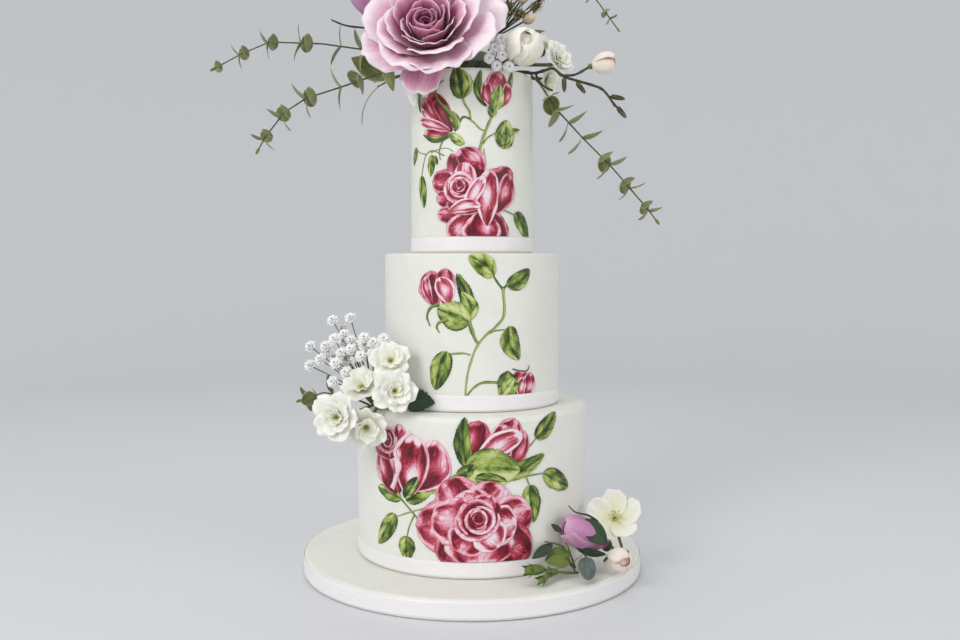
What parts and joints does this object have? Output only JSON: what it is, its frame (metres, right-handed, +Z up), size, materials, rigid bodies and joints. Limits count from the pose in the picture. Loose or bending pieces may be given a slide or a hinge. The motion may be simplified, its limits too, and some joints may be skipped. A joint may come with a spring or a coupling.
{
  "type": "tiered wedding cake",
  "caption": "Tall white iced round wedding cake on an iced drum board, with satin ribbons, hand-painted roses and silk flower sprays.",
  "frame": {"origin": "centre of the underside of the round drum board", "axes": "+Z up the cake, -Y towards the painted front, +X to the right as seen from the front"},
  "size_m": [0.3892, 0.3056, 0.5357],
  "materials": {
    "icing": "smooth satin sugar paste",
    "ribbon": "satin ribbon",
    "board": "foil-covered",
    "rose": "silk petals, pink with paler edges",
    "lilac": "silk petals, lilac",
    "white_petal": "silk petals, white",
    "cream_petal": "silk petals, cream",
    "leaf": "green leaf and moss",
    "sage_leaf": "olive-green leaves",
    "dark_leaf": "near-black green",
    "bronze_leaf": "dried brown-green"
  },
  "bodies": {
    "root": {"drum_icing": "icing", "bottom_tier": "icing", "middle_tier": "icing", "top_tier": "icing", "drum_ribbon": "ribbon", "bottom_ribbon": "ribbon", "middle_ribbon": "ribbon", "top_ribbon": "ribbon", "cake_drum": "board", "top_rose": "rose", "top_rosebud": "lilac", "lower_rosebud": "lilac", "top_blossom_right": "white_petal", "top_blossom_behind": "white_petal", "top_blossom_low": "white_petal", "waxflowers": "white_petal", "leaf_pale_left": "white_petal", "side_blossom_right": "white_petal", "side_blossom_left": "white_petal", "side_blossom_middle": "white_petal", "side_blossom_upper": "white_petal", "side_blossom_lower": "white_petal", "side_gypsophila": "white_petal", "lower_blossom": "white_petal", "top_peony": "cream_petal", "branch_bud": "cream_petal", "lower_white_bud": "cream_petal", "posy_mound": "leaf", "side_mound": "leaf", "lower_leaf_green": "leaf", "lower_leaf_low": "leaf", "lower_green_buds": "leaf", "eucalyptus_upper_left": "sage_leaf", "eucalyptus_lower_left": "sage_leaf", "eucalyptus_right": "sage_leaf", "eucalyptus_trailing": "sage_leaf", "side_eucalyptus": "sage_leaf", "leaf_grey_left": "sage_leaf", "leaf_long_left": "sage_leaf", "leaf_small_left": "sage_leaf", "lower_leaf_grey": "sage_leaf", "twig_left": "dark_leaf", "bud_branch": "dark_leaf", "leaf_dark_left": "dark_leaf", "leaf_dark_right": "dark_leaf", "leaf_back_1": "dark_leaf", "leaf_back_2": "dark_leaf", "leaf_back_3": "dark_leaf", "side_leaf": "dark_leaf", "lower_leaf_dark": "dark_leaf", "dried_filler": "bronze_leaf", "leaf_bronze_right": "bronze_leaf"}
  },
  "joints": []
}
